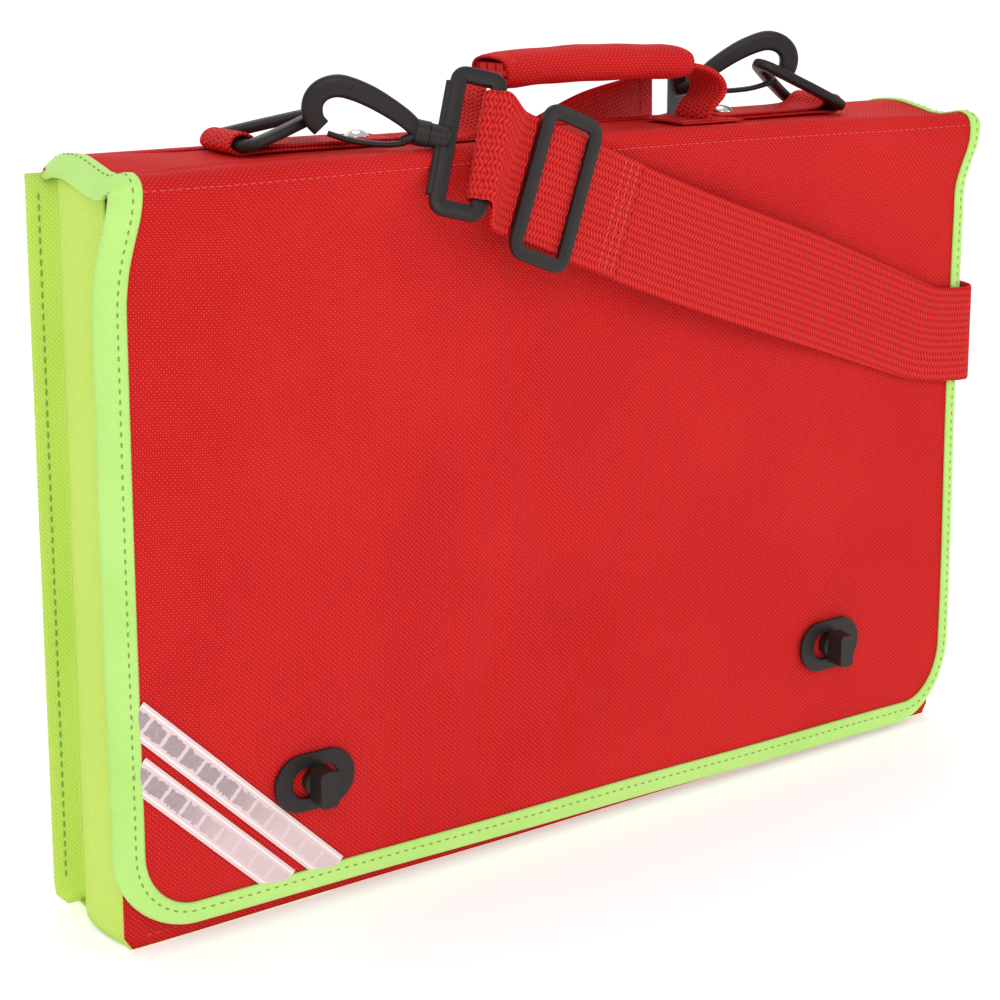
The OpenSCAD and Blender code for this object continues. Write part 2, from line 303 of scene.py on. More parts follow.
# %% Helpers for finishes
def new_material(name, colour, rough, **sockets):
    mat = bpy.data.materials.new(name)
    mat.use_nodes = True
    mat.diffuse_color = (*colour, 1)
    shader = mat.node_tree.nodes["Principled BSDF"]
    shader.inputs["Base Color"].default_value = (*colour, 1)
    shader.inputs["Roughness"].default_value = rough
    for key, value in sockets.items():
        shader.inputs[key.replace("_", " ")].default_value = value
    return mat, mat.node_tree, shader


def node(tree, kind, **settings):
    n = tree.nodes.new(kind)
    for key, value in settings.items():
        setattr(n, key, value)
    return n


def calc(tree, op, a, b=None, c=None):
    """One step of arithmetic on sockets or numbers."""
    n = node(tree, "ShaderNodeMath", operation=op)
    for i, v in enumerate((a, b, c)):
        if v is None:
            continue
        if isinstance(v, (int, float)):
            n.inputs[i].default_value = v
        else:
            tree.links.new(v, n.inputs[i])
    return n.outputs[0]


def metre_map(tree):
    """The map of the mesh and its two directions, in metres."""
    uv = node(tree, "ShaderNodeUVMap", uv_map="UVMap")
    split = node(tree, "ShaderNodeSeparateXYZ")
    tree.links.new(uv.outputs[0], split.inputs[0])
    return uv.outputs[0], split.outputs[0], split.outputs[1]


def tint(tree, factor, low, high):
    mix = node(tree, "ShaderNodeMix", data_type="RGBA")
    tree.links.new(factor, mix.inputs[0])
    mix.inputs[6].default_value = (*low, 1)
    mix.inputs[7].default_value = (*high, 1)
    return mix.outputs[2]


def mottle(tree, scale, detail=3.0):
    where = node(tree, "ShaderNodeTexCoord")
    noise = node(tree, "ShaderNodeTexNoise")
    tree.links.new(where.outputs["Object"], noise.inputs["Vector"])
    noise.inputs["Scale"].default_value = scale
    noise.inputs["Detail"].default_value = detail
    return noise.outputs[0]


def bump(tree, shader, height, strength, distance):
    b = node(tree, "ShaderNodeBump")
    b.inputs["Strength"].default_value = strength
    b.inputs["Distance"].default_value = distance
    tree.links.new(height, b.inputs["Height"])
    tree.links.new(b.outputs[0], shader.inputs["Normal"])


print("finish helpers ready")

# %% [markdown]
# ## Woven cloth
# Coarse pack cloth is a plain weave. A product of two sine waves on the map gives it: yarn crowns stand
# up where both are large, and the sign tells warp from weft. The same product drives colour and bump,
# so the tint and the light agree. A cloud over it keeps a large panel from looking printed.

# %% Woven cloth
def woven(name, dark, base, light, pitch, strength=0.6, rough=0.62):
    """Plain weave: pitch is one yarn, in metres."""
    mat, tree, shader = new_material(name, base, rough, Specular_IOR_Level=0.06)
    _, u, v = metre_map(tree)
    k = math.pi / pitch
    a = calc(tree, "SINE", calc(tree, "MULTIPLY", u, k))
    b = calc(tree, "SINE", calc(tree, "MULTIPLY", v, k))
    product = calc(tree, "MULTIPLY", a, b)
    crown = calc(tree, "ABSOLUTE", product)
    warp = calc(tree, "MULTIPLY_ADD", product, 0.3, 0.3)
    level = calc(tree, "ADD", calc(tree, "MULTIPLY", crown, 0.62), warp)
    cloud = calc(tree, "MULTIPLY_ADD", mottle(tree, 14.0), 0.35, -0.17)
    level = calc(tree, "ADD", level, cloud)
    ramp = node(tree, "ShaderNodeValToRGB")
    tree.links.new(level, ramp.inputs[0])
    ramp.color_ramp.elements[0].color = (*dark, 1)
    ramp.color_ramp.elements[0].position = 0.05
    ramp.color_ramp.elements[1].color = (*light, 1)
    ramp.color_ramp.elements[1].position = 1.0
    mid = ramp.color_ramp.elements.new(0.45)
    mid.color = (*base, 1)
    tree.links.new(ramp.outputs[0], shader.inputs["Base Color"])
    bump(tree, shader, calc(tree, "ADD", crown, calc(tree, "MULTIPLY", warp, 0.5)), strength, 0.0004)
    return mat


print("cloth recipe ready")

# %% [markdown]
# ## Herringbone webbing
# The strap's webbing has slanting picks that change direction from rib to rib. A zigzag across the band
# shifts the phase of a wave that runs along it, and that is all a herringbone is.

# %% Herringbone webbing
def webbing(name, dark, base, light, rib=0.0031, pitch=0.0017):
    """Herringbone webbing: slanting picks that change direction from rib to rib."""
    mat, tree, shader = new_material(name, base, 0.6, Specular_IOR_Level=0.06)
    _, u, v = metre_map(tree)
    across = calc(tree, "DIVIDE", v, rib)
    zigzag = calc(tree, "PINGPONG", across, 1.0)
    along = calc(tree, "MULTIPLY", u, 2 * math.pi / pitch)
    phase = calc(tree, "ADD", along, calc(tree, "MULTIPLY", zigzag, 5.2))
    picks = calc(tree, "MULTIPLY_ADD", calc(tree, "SINE", phase), 0.5, 0.5)
    groove = calc(tree, "ABSOLUTE", calc(tree, "SINE", calc(tree, "MULTIPLY", v, math.pi / rib)))
    level = calc(tree, "ADD", calc(tree, "MULTIPLY", picks, 0.6), calc(tree, "MULTIPLY", groove, 0.35))
    tree.links.new(tint(tree, level, dark, light), shader.inputs["Base Color"])
    bump(tree, shader, level, 0.7, 0.0005)
    return mat


print("webbing recipe ready")

# %% [markdown]
# ## The finishes
# The red cloth is coated polyester with a coarse plain weave, about one yarn a millimetre. The gussets
# are the same cloth in fluorescent yellow-green, and the binding is a smoother, greener folded tape.
# The tape's cells, the moulded plastic and the plated rivets each get their own graph.

# %% Finishes
red_cloth = woven("red_cloth", (0.36, 0.004, 0.004), (0.60, 0.012, 0.012), (0.84, 0.05, 0.045), 0.00105)
lining_reds = (0.20, 0.003, 0.004), (0.34, 0.008, 0.009), (0.45, 0.02, 0.02)
lining_cloth = woven("lining_cloth", *lining_reds, 0.0009, 0.3, 0.5)
lime_cloth = woven("lime_cloth", (0.40, 0.58, 0.06), (0.58, 0.79, 0.13), (0.72, 0.90, 0.24), 0.00095, 0.3)
red_webbing = webbing("red_webbing", (0.30, 0.004, 0.004), (0.62, 0.012, 0.012), (0.88, 0.04, 0.036))
red_thread, _, _ = new_material("red_thread", (0.74, 0.06, 0.055), 0.5)
lime_thread, _, _ = new_material("lime_thread", (0.20, 0.34, 0.05), 0.55)
print("cloths, webbing and threads mixed")

# %% [markdown]
# ## Plastic, card and nickel
# Moulded plastic isn't one flat colour: a faint grain shifts its tone and breaks its shine. The card of
# the boards and the nickel of the rivets use the same recipe with other numbers.

# %% Plastic, card and nickel
def plain_with_noise(name, colour, rough, scale, strength, **sockets):
    mat, tree, shader = new_material(name, colour, rough, **sockets)
    grain = mottle(tree, scale, 4.0)
    shade, shine = [c * 0.8 for c in colour], [min(c * 1.2, 1) for c in colour]
    tree.links.new(tint(tree, grain, shade, shine), shader.inputs["Base Color"])
    bump(tree, shader, grain, strength, 0.0003)
    return mat


warm_black = (0.020, 0.015, 0.0145)
black_plastic = plain_with_noise("black_plastic", warm_black, 0.42, 900, 0.12, Specular_IOR_Level=0.3)
board_card = plain_with_noise("board_card", (0.05, 0.05, 0.055), 0.7, 400, 0.2)
nickel = plain_with_noise("nickel", (0.75, 0.73, 0.70), 0.16, 300, 0.03, Metallic=1.0)
print("plastic, card and nickel mixed")

# %% [markdown]
# ## Two tapes
# The binding is a bright tape with fine ribs across it. The reflective tape is clear plastic welded over
# crinkled foil: the welds are pale bars, and between them the foil shows as ragged grey cells with painted
# glints in their grey, painted darker at one end as painted shade where the tape faces away from the light.

# %% Binding tape and reflective tape
def ribbed_tape():
    """Binding: fine ribs across a smooth bright tape."""
    mat, tree, shader = new_material("lime_binding", (0.50, 0.86, 0.20), 0.5, Specular_IOR_Level=0.3)
    _, u, v = metre_map(tree)
    ribs = calc(tree, "SINE", calc(tree, "MULTIPLY", u, 2 * math.pi / 0.0007))
    level = calc(tree, "ADD", calc(tree, "MULTIPLY", ribs, 0.12), mottle(tree, 30))
    tree.links.new(tint(tree, level, (0.44, 0.80, 0.15), (0.58, 0.91, 0.27)), shader.inputs["Base Color"])
    bump(tree, shader, calc(tree, "ADD", ribs, calc(tree, "MULTIPLY", mottle(tree, 60), 3.0)), 0.25, 0.0003)
    return mat


def cell_tape():
    """Reflective tape: a row of crinkled grey-pink cells between pale welded bars, with painted glints and
    painted shade.
    """
    pale = (0.8, 0.72, 0.72)
    mat, tree, shader = new_material("reflective_tape", pale, 0.3, Coat_Weight=0.4, Coat_Roughness=0.15)
    uv, u, v = metre_map(tree)
    noise = node(tree, "ShaderNodeTexNoise")
    noise.inputs["Scale"].default_value = 520
    noise.inputs["Detail"].default_value = 2
    tree.links.new(uv, noise.inputs["Vector"])
    ragged = calc(tree, "MULTIPLY", calc(tree, "SUBTRACT", noise.outputs[0], 0.5), 0.0036)
    place_in_cell = calc(tree, "FRACT", calc(tree, "DIVIDE", u, 0.0102))
    cell = calc(tree, "ABSOLUTE", calc(tree, "SUBTRACT", place_in_cell, 0.5))
    inside_u = calc(tree, "LESS_THAN", calc(tree, "ADD", cell, calc(tree, "MULTIPLY", ragged, 30.0)), 0.42)
    inside_v = calc(tree, "LESS_THAN", calc(tree, "ADD", calc(tree, "ABSOLUTE", v), ragged), 0.0031)
    inside = calc(tree, "MULTIPLY", inside_u, inside_v)
    # Painted shade along the strip: the cells stay pale for the first 35 mm and reach their full dark grey at
    # 65 mm.
    painted_shade_ramp = node(tree, "ShaderNodeMapRange")
    painted_shade_ramp.inputs["From Min"].default_value = 0.035
    painted_shade_ramp.inputs["From Max"].default_value = 0.065
    tree.links.new(u, painted_shade_ramp.inputs["Value"])
    deep = calc(tree, "MULTIPLY_ADD", painted_shade_ramp.outputs[0], 0.8, 0.2)
    # The foil's own grey; its paler spots from the noise are painted glints on the crinkles.
    grey = tint(tree, noise.outputs[0], (0.30, 0.22, 0.23), (0.50, 0.40, 0.41))
    mix = node(tree, "ShaderNodeMix", data_type="RGBA")
    tree.links.new(calc(tree, "MULTIPLY", inside, deep), mix.inputs[0])
    from_weld = calc(tree, "SUBTRACT", calc(tree, "ABSOLUTE", v), 0.0047)
    weld = calc(tree, "LESS_THAN", calc(tree, "ABSOLUTE", from_weld), 0.0004)
    bars = tint(tree, weld, (0.80, 0.62, 0.63), (0.93, 0.86, 0.86))
    tree.links.new(bars, mix.inputs[6])
    tree.links.new(grey, mix.inputs[7])
    tree.links.new(mix.outputs[2], shader.inputs["Base Color"])
    foil = calc(tree, "MULTIPLY", inside, noise.outputs[0])
    relief = calc(tree, "ADD", foil, calc(tree, "MULTIPLY", weld, 0.6))
    bump(tree, shader, relief, 0.5, 0.0004)
    return mat


lime_binding = ribbed_tape()
reflective = cell_tape()
print("materials", len(bpy.data.materials))

# %% [markdown]
# ## The shoulder strap
# Herringbone webbing, 50 mm wide. It leaves the left loop frame, lies across the flap, turns the right
# edge and goes behind the bag, where the rest of it is folded once before it climbs to the right
# loop frame. It is made in two pieces.

# %% Route of the strap, in millimetres
def pose(at, pitch, yaw, lean):
    """Local to world: x along the pull of the webbing, z across it."""
    p, y, l = (math.radians(v) for v in (pitch, yaw, lean))
    rz = np.array([[math.cos(y), -math.sin(y), 0], [math.sin(y), math.cos(y), 0], [0, 0, 1]])
    ry = np.array([[math.cos(p), 0, math.sin(p)], [0, 1, 0], [-math.sin(p), 0, math.cos(p)]])
    rx = np.array([[1, 0, 0], [0, math.cos(l), math.sin(l)], [0, -math.sin(l), math.cos(l)]])
    m = rz @ ry @ rx
    return lambda q: np.array(at, float) + m @ np.array(q, float)


run = pose((-68, -49, 299.5), 22.9, 0, 6)
left_loop = pose((-82, -37, 307.5), 12.8, -29.7, 28)
right_loop = pose((93, 20, 316), 12.5, 150, 54)


def across(fn, x, y, w):
    """A row: centre at local (x, y, 0), with the full width vector."""
    a, b = fn((x, y, -w / 2)), fn((x, y, w / 2))
    return (a + b) / 2, b - a


front_rows = [across(left_loop, x, 3.4, w) for x, w in ((22.4, 46), (27.5, 47))]
front_widths = ((17, 2.8, 48.5), (32, 3.0, 49.5), (60, 3.0, 50), (92, 3.0, 50))
front_rows += [across(run, x, y, w) for x, y, w in front_widths]
front_rows += [
    ((45, -45.4, 252.3), (18.5, 5, 46)),
    ((75, -43.8, 241.3), (18, 4, 46.2)),
    ((105, -41.4, 230.6), (17.5, 3, 46.4)),
    ((135, -38.2, 219.6), (16, 1, 45.4)),
    ((165, -36.8, 208), (15.5, 0, 44.2)),
    ((182, -36.6, 201.4), (15.5, 0, 43)),
    ((190, -36.6, 198.6), (13, 0, 43)),
    ((199, -36.6, 196.6), (7, 0, 44)),
    ((209, -36.7, 195.4), (3, 0, 45)),
    ((218.5, -36.9, 194.8), (1, 0, 45.5)),
]
side_rows = [
    ((223.4, -35.4, 194.8), (0, 0, 46)),
    ((225.0, -30, 194.8), (0, 0, 47)),
    ((225.2, -10, 195.2), (0, 0, 48.5)),
    ((225.8, 15, 196.4), (0, 0, 49.6)),
    ((226.2, 24.4, 197), (0, 0, 50)),
    ((223, 27.4, 197), (0, 0, 50)),
]
back_rows = [((150, 27.4, 197), (0, 0, 50)), ((60, 27.4, 197), (0, 0, 50)), ((-60, 27.4, 197), (0, 0, 50))]
strap_main, strap_line = ribbon("strap_main", front_rows + side_rows + back_rows, 1.6, 6)
dress(strap_main, red_webbing, None, "red_webbing", "strap_front", "strap_side")
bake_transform(strap_main)


# %% [markdown]
# ## Behind the bag
# The rear run isn't in view, so it is the simplest route that joins both ends: straight across the back
# panel, one flat fold, and a climb over the back edge to the right loop frame.

# %% Behind the bag
frame_centre, frame_width = across(right_loop, 24.0, 3.4, 46)
over_rows = [
    ((-60, 27.5, 197), (0, 0, 50)),
    ((-128, 27.6, 197), (0, 0, 50)),
    ((-146, 27.9, 198.5), (13, 0, 47)),
    ((-156, 28.8, 207), (30, 0, 36)),
    ((-148, 29.8, 214.5), (-8, 0, 48)),
    ((-128, 30.2, 222), (-18.5, 0, 46.4)),
    ((-100, 30.4, 233.5), (-18.5, 0, 46.4)),
    ((-60, 31, 249), (-18.5, -3, 46)),
    ((-20, 33, 265), (-18.5, -8, 45.5)),
    ((20, 36, 282), (-18, -17, 43.5)),
    ((45, 37, 295), (-17.5, -26, 39)),
    (frame_centre, -frame_width if frame_width[2] < 0 else frame_width),
]
strap_rise, rise_line = ribbon("strap_rise", over_rows, 1.6, 6)
dress(strap_rise, red_webbing, None, "red_webbing", "strap_back", "strap_over")
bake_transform(strap_rise)

# %% [markdown]
# ## The doubled end
# The webbing passes round the bar of the left loop frame and comes back through the adjuster, where
# its end is sewn down with three rows. The sewn end rides with the adjuster and the rest with the lid.

# %% The doubled end
double_rows = [across(left_loop, x, -3.4, w) for x, w in ((22.4, 46), (27.5, 47))]
double_rows += [across(run, x, y, w) for x, y, w in ((13, -2.2, 48.5), (19, 0.9, 48.8), (23.4, 0.95, 49))]
strap_double, _ = ribbon("strap_double", double_rows, 1.6, 6)
dress(strap_double, red_webbing, "lid", "red_webbing")
hem_places = ((28, 0.9, 49), (36, 0.2, 49), (42, 0.0, 49), (52, 0.8, 49), (60, 1.1, 49.6), (81, 1.1, 49.6))
hem_rows = [across(run, x, y, w) for x, y, w in hem_places]
strap_hem, _ = ribbon("strap_hem", hem_rows, 1.6, 6)
dress(strap_hem, red_webbing, "adjuster", "red_webbing", "strap_end")
hem_lines = []
for x in (71, 74.5, 78):
    line = [(run((x, 0.2, z)), run((x, -1, z)) - run((x, 0, z))) for z in np.linspace(-23.5, 23.5, 12)]
    hem_lines.append(line)
hem_stitch = stitches("hem_stitches", hem_lines, 2.6, 2.0, 0.32, red_thread, "adjuster", "red_webbing")
print("doubled end sewn with", len(hem_lines), "rows")

# %% [markdown]
# ## Round the bars of the loop frames
# Each wrap is a short ribbon whose rows walk round the bar in the frame's own directions. With them the
# strap is whole.

# %% Round the bars of the loop frames
round_bar = [(20.4, -3.2), (18.4, -2.0), (17.8, 0), (18.4, 2.0), (20.4, 3.2), (23.5, 3.4)]


def wrap(name, loop, start):
    """Webbing round the bar of a loop frame: start is how it comes to the bar."""
    wide = loop((0, 0, 23)) - loop((0, 0, -23))
    band, _ = ribbon(name, [(loop((x, y, 0)), wide) for x, y in start + round_bar], 1.5, 6)
    return dress(band, red_webbing, "lid", "red_webbing")


strap_wrap = wrap("strap_wrap", left_loop, [(23.5, -3.4)])
strap_wrap_right = wrap("strap_wrap_right", right_loop, [(30, -3.4), (24, -3.4)])


# %% [markdown]
# ## Lid and flap
# One sheet of cloth runs from the back edge, over the top, over the front fold and down the front. On
# the real bag it is stiffened, so it stays flat with a soft ridge at the fold and a slight hollow
# under it. It is made as a grid: rows follow the section of the bag, columns the width.

# %% Section of the lid and its surface
flap_half = 221.0
corner_r = 31.0
flap_y = -34.4
front_drop = [(flap_y, z) for z in (240, 180, 120, 60, 42)]
middle_top = [(25.2, 299.0), (24.6, 301.0), (15, 301.6), (0, 301.5), (-18, 301.4), (-28, 301.7), (-34, 302.2)]
middle_fold = [(-38.4, 301.6), (-41.0, 298.6), (-41.2, 293.5), (-39.8, 287)]
middle_fold += [(-37.4, 279), (-35.5, 271), (-34.7, 262)]
end_top = [(25.2, 297.0), (24.0, 300.6), (16, 303.0), (2, 303.6), (-12, 301.2), (-22, 299.4), (-31, 300.8)]
end_fold = [(-38.6, 301.8), (-43.6, 299.4), (-44.6, 294), (-43.4, 286.5)]
end_fold += [(-39.6, 277), (-36.4, 268.5), (-34.9, 260)]
middle_section = smooth_path(middle_top + middle_fold + front_drop, 5)
end_section = smooth_path(end_top + end_fold + front_drop, 5)
drop = np.linspace(1 / 26, 1, 26)


def hem_height(x):
    """The flap hangs a little askew: its hem is higher on the left."""
    return 6.4 - 3.0 * x / flap_half


def row_half_width(i):
    """Half width of the row: full down the sides, less round the corners and over the top."""
    n = len(middle_section)
    if i < n:
        z = middle_section[i][1]
        return flap_half - 3.0 * min(max((z - 255) / 40, 0), 1)
    f = drop[i - n]
    d = f * corner_r
    return flap_half - corner_r + math.sqrt(max(corner_r ** 2 - d ** 2, 0.0))


def soft_wave(x, z):
    """Small soft waves, so that the cloth isn't a machined plate."""
    return 0.6 * math.sin(x / 61.0 + 0.8) * math.sin(z / 47.0) + 0.3 * math.sin(x / 23.0 + z / 31.0)


def lid_point(x, i):
    """A point of the cloth at x on row i, before its edge is turned back."""
    n = len(middle_section)
    w = min(max((abs(x) - 160) / 52, 0), 1)
    w = w * w * (3 - 2 * w)
    if i < n:
        y, z = middle_section[i] * (1 - w) + end_section[i] * w
        ridge = math.exp(-((z - 297) / 14.0) ** 2) if y < -25 else 0
        y += soft_wave(x, z) * (1.0 if z < 290 and y < -25 else 0.15) + 0.8 * ridge * math.sin(x / 58.0 + 1.0)
        z += 0.9 * ridge * math.sin(x / 74.0 + 1.2)
        return np.array((x, y, z))
    top, bottom = 42.0, hem_height(x)
    z = top + (bottom - top) * drop[i - n]
    return np.array((x, flap_y + soft_wave(x, z), z))


def row_normal(x, i):
    """Which way the cloth faces on this row."""
    a = lid_point(x, max(i - 1, 0))
    b = lid_point(x, min(i + 1, len(middle_section) + len(drop) - 1))
    return unit(np.cross(unit(b - a), (1, 0, 0)))


def edge_distance(x, i):
    """How far inside the outline the point is; round the lower corners it is measured from the arc."""
    n = len(middle_section)
    if i < n:
        return row_half_width(i) - abs(x)
    side = max(abs(x) - (flap_half - corner_r), 0)
    return corner_r - math.hypot(side, drop[i - n] * corner_r)


def lid_surface(x, i):
    """The cloth with its side edges and its hem rolled back towards the bag."""
    p = lid_point(x, i)
    from_edge = max(9.0 - edge_distance(x, i), 0) / 9.0
    side = max(abs(x) - (flap_half - corner_r), 0) / corner_r
    roll = 6.4 if i <= 30 else 2.2 + 3.0 * min(side, 1)
    return p - row_normal(x, i) * roll * from_edge ** 2


row_count = len(middle_section) + len(drop)
near_edge = [0.964, 0.972, 0.98, 0.986, 0.992, 0.996, 1]
columns = np.concatenate([[-c for c in near_edge[::-1]], np.linspace(-0.955, 0.955, 110), near_edge])
print("lid grid", row_count, "rows of", len(columns))

# %% [markdown]
# ## Cloth and its linings
# The same surface makes the outer cloth and, a few millimetres further in, the lining of the flap. A
# third small sheet lines the lid.

# %% Cloth and its linings
lid_rows = [[lid_surface(c * row_half_width(i), i) for c in columns] for i in range(row_count)]
flap = grid_mesh("lid_and_flap", lid_rows, 1.1)
dress(flap, red_cloth, "lid", "red_fabric", "top_band", "flap_panel")
inwards = np.array((0, 3.4, 0))
lining_rows = []
for i in range(60, row_count - 3):
    lining_rows.append([lid_point(c * (row_half_width(i) - 6), i) + inwards for c in columns[::3]])
lining = grid_mesh("flap_lining", lining_rows, 0.4)
dress(lining, lining_cloth, "lid", "red_fabric")
under_rows = [[(c * (flap_half - 8), y, 297.0) for c in columns[::3]] for y in (22, 5, -12, -30)]
under = grid_mesh("lid_lining", under_rows, 0.3)
dress(under, lining_cloth, "lid", "red_fabric")
for cloth, deep in ((flap, 0.365), (lining, 0.255), (under, 0.052)):
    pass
print("flap of", len(flap.data.vertices), "points")

# %% [markdown]
# ## Folded binding
# A bright tape is folded over the raw edge of the lid and flap and sewn through. A flattened C swept
# round the whole outline gives it, with its stitches a few millimetres in from the fold.

# %% Walk round the edge of the cloth
hem_row = row_count - 1
corner_row = len(middle_section) - 1


def cloth(x, row):
    """The cloth at x on a row that may lie between two of the grid's rows."""
    row = min(max(row, 0), hem_row)
    i = min(int(row), hem_row - 1)
    f = row - i
    return lid_surface(x, i) * (1 - f) + lid_surface(x, i + 1) * f


edge_walk = [(-row_half_width(i), float(i), 1.0, 0.0) for i in range(corner_row + 1)]
corner_drop = 36.0
row_step = corner_drop / 26
for a in np.radians(np.linspace(5, 90, 18)):
    nx, nz = math.cos(a) / corner_r, math.sin(a) / corner_drop
    size = math.hypot(nx, nz)
    x = -(flap_half - corner_r) - corner_r * math.cos(a)
    edge_walk.append((x, corner_row + 26 * math.sin(a), nx / size, -nz / size / row_step))
left_side = list(edge_walk)
for x in np.linspace(-185, 185, 75):
    edge_walk.append((x, float(hem_row), 0.0, -1 / row_step))
edge_walk += [(-x, row, -ix, irow) for x, row, ix, irow in left_side[::-1]]
print("edge stations", len(edge_walk))

# %% [markdown]
# ## The tape and its thread
# The folded tape is one closed outline carried along the walk: each station places the outline's points
# by their depth from the edge and their height over the cloth. Its stitches follow the same walk.

# %% Binding and its stitches
outer_fold = [(10.0, 0.35), (9.4, 0.95), (7.5, 1.25), (5.0, 1.45), (2.5, 1.5), (0.8, 1.25), (-0.9, 0.5)]
inner_fold = [(-1.2, -0.6), (-0.6, -1.7), (0.8, -2.4), (5.0, -2.5), (9.0, -2.2)]
hollow = [(9.0, -1.5), (2.0, -1.5), (1.0, -0.6), (2.0, 0.15)]
fold_profile = outer_fold + inner_fold + hollow


def outer_normal(x, row):
    """The cloth's outward direction, found from its neighbours."""
    step = 0.6 if x < 0 else -0.6
    a = cloth(x + step, row) - cloth(x, row)
    b = cloth(x, min(row + 0.5, hem_row)) - cloth(x, min(row + 0.5, hem_row) - 0.5)
    n = unit(np.cross(b, a)) if step > 0 else unit(np.cross(a, b))
    nearest_row = int(round(min(max(row, 0), hem_row)))
    return n if float(np.dot(n, row_normal(x, nearest_row))) > 0 else -n


verts, uvs, seam, run_len, last_edge = [], [], [], 0.0, None
for x, row, ix, irow in edge_walk:
    edge = cloth(x, row)
    outward = unit(edge - cloth(x + 1.5 * ix, row + 1.5 * irow))
    run_len += 0.0 if last_edge is None else float(np.linalg.norm(edge - last_edge))
    last_edge = edge
    for q, (depth, height) in enumerate(fold_profile):
        d = max(depth, 0.0)
        at_x, at_row = x + d * ix, row + d * irow
        n_here = outer_normal(at_x, at_row)
        verts.append(cloth(at_x, at_row) + outward * max(-depth, 0.0) + n_here * height)
        uvs.append((run_len, q))
    at_x, at_row = x + 6.4 * ix, row + 6.4 * irow
    n_here = outer_normal(at_x, at_row)
    seam.append((cloth(at_x, at_row) + n_here * 1.36, n_here))
k = len(fold_profile)
faces = []
for i in range(len(edge_walk) - 1):
    for j in range(k):
        a, b = i * k + j, i * k + (j + 1) % k
        faces.append((a, b, b + k, a + k))
faces += [tuple(range(k - 1, -1, -1)), tuple(range((len(edge_walk) - 1) * k, len(edge_walk) * k))]
binding = make_mesh("flap_binding_tape", verts, faces, uvs)
dress(binding, lime_binding, "lid", "lime_binding", "flap_binding")
stitches("binding_stitches", [seam], 4.0, 1.9, 0.3, lime_thread, "lid", "lime_binding")
just_proud, ridge_way = np.array((0, -0.1, 0.1)), np.array((0, -0.7, 0.7))
ridge_line = [(lid_point(x, 43) + just_proud, ridge_way) for x in np.linspace(-209, 209, 120)]
stitches("ridge_stitches", [ridge_line], 3.4, 2.3, 0.3, red_thread, "lid", "red_fabric")
print("binding", round(run_len / 1000, 2), "m long")

# %% [markdown]
# ## Reflective tapes
# Two strips cross the lower left corner at 45 degrees, with their ends under the binding.

# %% Tapes
def tape_strip(name, c, cad):
    """Lay one strip: c is x + z on its centre line."""
    low, high = 14.5, c + 214.0
    rows, uv = [], []
    for z in np.linspace(low, high, 46):
        for_row = []
        for w in np.linspace(-6.2, 6.2, 9):
            x = max((c - z) + w * 0.7071, -214.5)
            zz = max(z + w * 0.7071, 13.0 - 3.0 * (c - z) / flap_half)
            lift = 0.75 + 0.25 * (1 - (w / 6.2) ** 2)
            for_row.append((x, flap_y + soft_wave(x, zz) - lift, zz))
            uv.append(((z - low) * 1.4142, w))
        rows.append(for_row)
    obj = grid_mesh(name, rows, 0.0, uv)
    return dress(obj, reflective, "lid", "reflective_tape", cad)


tape_strip("tape_upper", -115, "reflective_tape_upper")
tape_strip("tape_lower", -137, "reflective_tape_lower")
print("tapes laid")

# %% [markdown]
# ## Body of the bag
# The back and front panels are the same red cloth. The front one is lower and is drawn in towards its
# top, where the lid hides it. The base is lime cloth like the gussets.

# %% Panels
def panel(name, width, z1, y, bulge, corner, draw_in, cad):
    """A red panel: bulge is its crown, corner its lower radius, draw_in the taper of its top."""
    z0, rows = 0.2, []
    for z in np.linspace(z1, z0, 60):
        d = max(corner - (z - z0), 0)
        hw = width / 2 - corner + math.sqrt(max(corner ** 2 - d ** 2, 0)) if d else width / 2
        hw -= draw_in * max((z - 200) / 84, 0)
        crown = bulge * math.sin(math.pi * (z - z0) / (z1 - z0))
        row = []
        for c in np.linspace(-1, 1, 61):
            row.append((c * hw, y + crown * (1 - c * c) + 0.3 * math.sin(c * 9 + z / 30), z))
        rows.append(row)
    obj = grid_mesh(name, rows, 1.2)
    dress(obj, red_cloth, "root", "red_fabric", cad)
    return obj


panel("back_cloth", 447, 295.6, 24.2, 0.5, 10, 0, "back_panel")
panel("front_cloth", 432, 284, -25.0, -1.5, 3, 3.0, "front_panel")
base_rows = []
for y in np.linspace(-24.6, 24, 8):
    base_rows.append([(x, y, 0.3 + 0.2 * math.cos(x / 60)) for x in np.linspace(-214, 214, 60)])
base_cloth = grid_mesh("base_cloth", base_rows, 1.2)
dress(base_cloth, lime_cloth, "root", "lime_fabric", "base_panel")
print("panels cut")

# %% [markdown]
# ## Gussets
# Each side is one strip of lime cloth. Seen from above it starts at the front panel, bellows out, tucks
# in again and turns out flat along the back panel, where one row of stitches holds its flange. The
# bellows fades out at both ends, where the seams hold the cloth.

# %% Gussets
gusset_top = 296.4
flange_corner = 9.0


def gusset_outline(z):
    """The strip's outline at height z, as seen from above, from front to flange."""
    f = math.sin(math.pi * z / gusset_top) ** 0.5 if z < gusset_top else 0.0
    wave = 0.5 * math.sin(z / 19.0) + 0.4 * math.sin(z / 37.0 + 1)
    bellows = [
        (213.9, -24.8),
        (215.2, -20),
        (216.6 + f + 0.3 * wave, -12),
        (217.4 + 1.4 * f + 0.5 * wave, -2),
        (216.8 + f + 0.3 * wave, 8),
        (214.4 + 0.3 * wave, 16),
        (212.6, 20.4),
        (212.8, 22.0),
    ]
    flange = [(215.0, 22.6), (219.6, 22.8), (224.4, 23.0)]
    if z < flange_corner:
        narrow = math.sqrt(max(1 - ((flange_corner - z) / flange_corner) ** 2, 0))
        flange = [(214.6 + (x - 214.6) * narrow, y) for x, y in flange]
    return bellows + flange


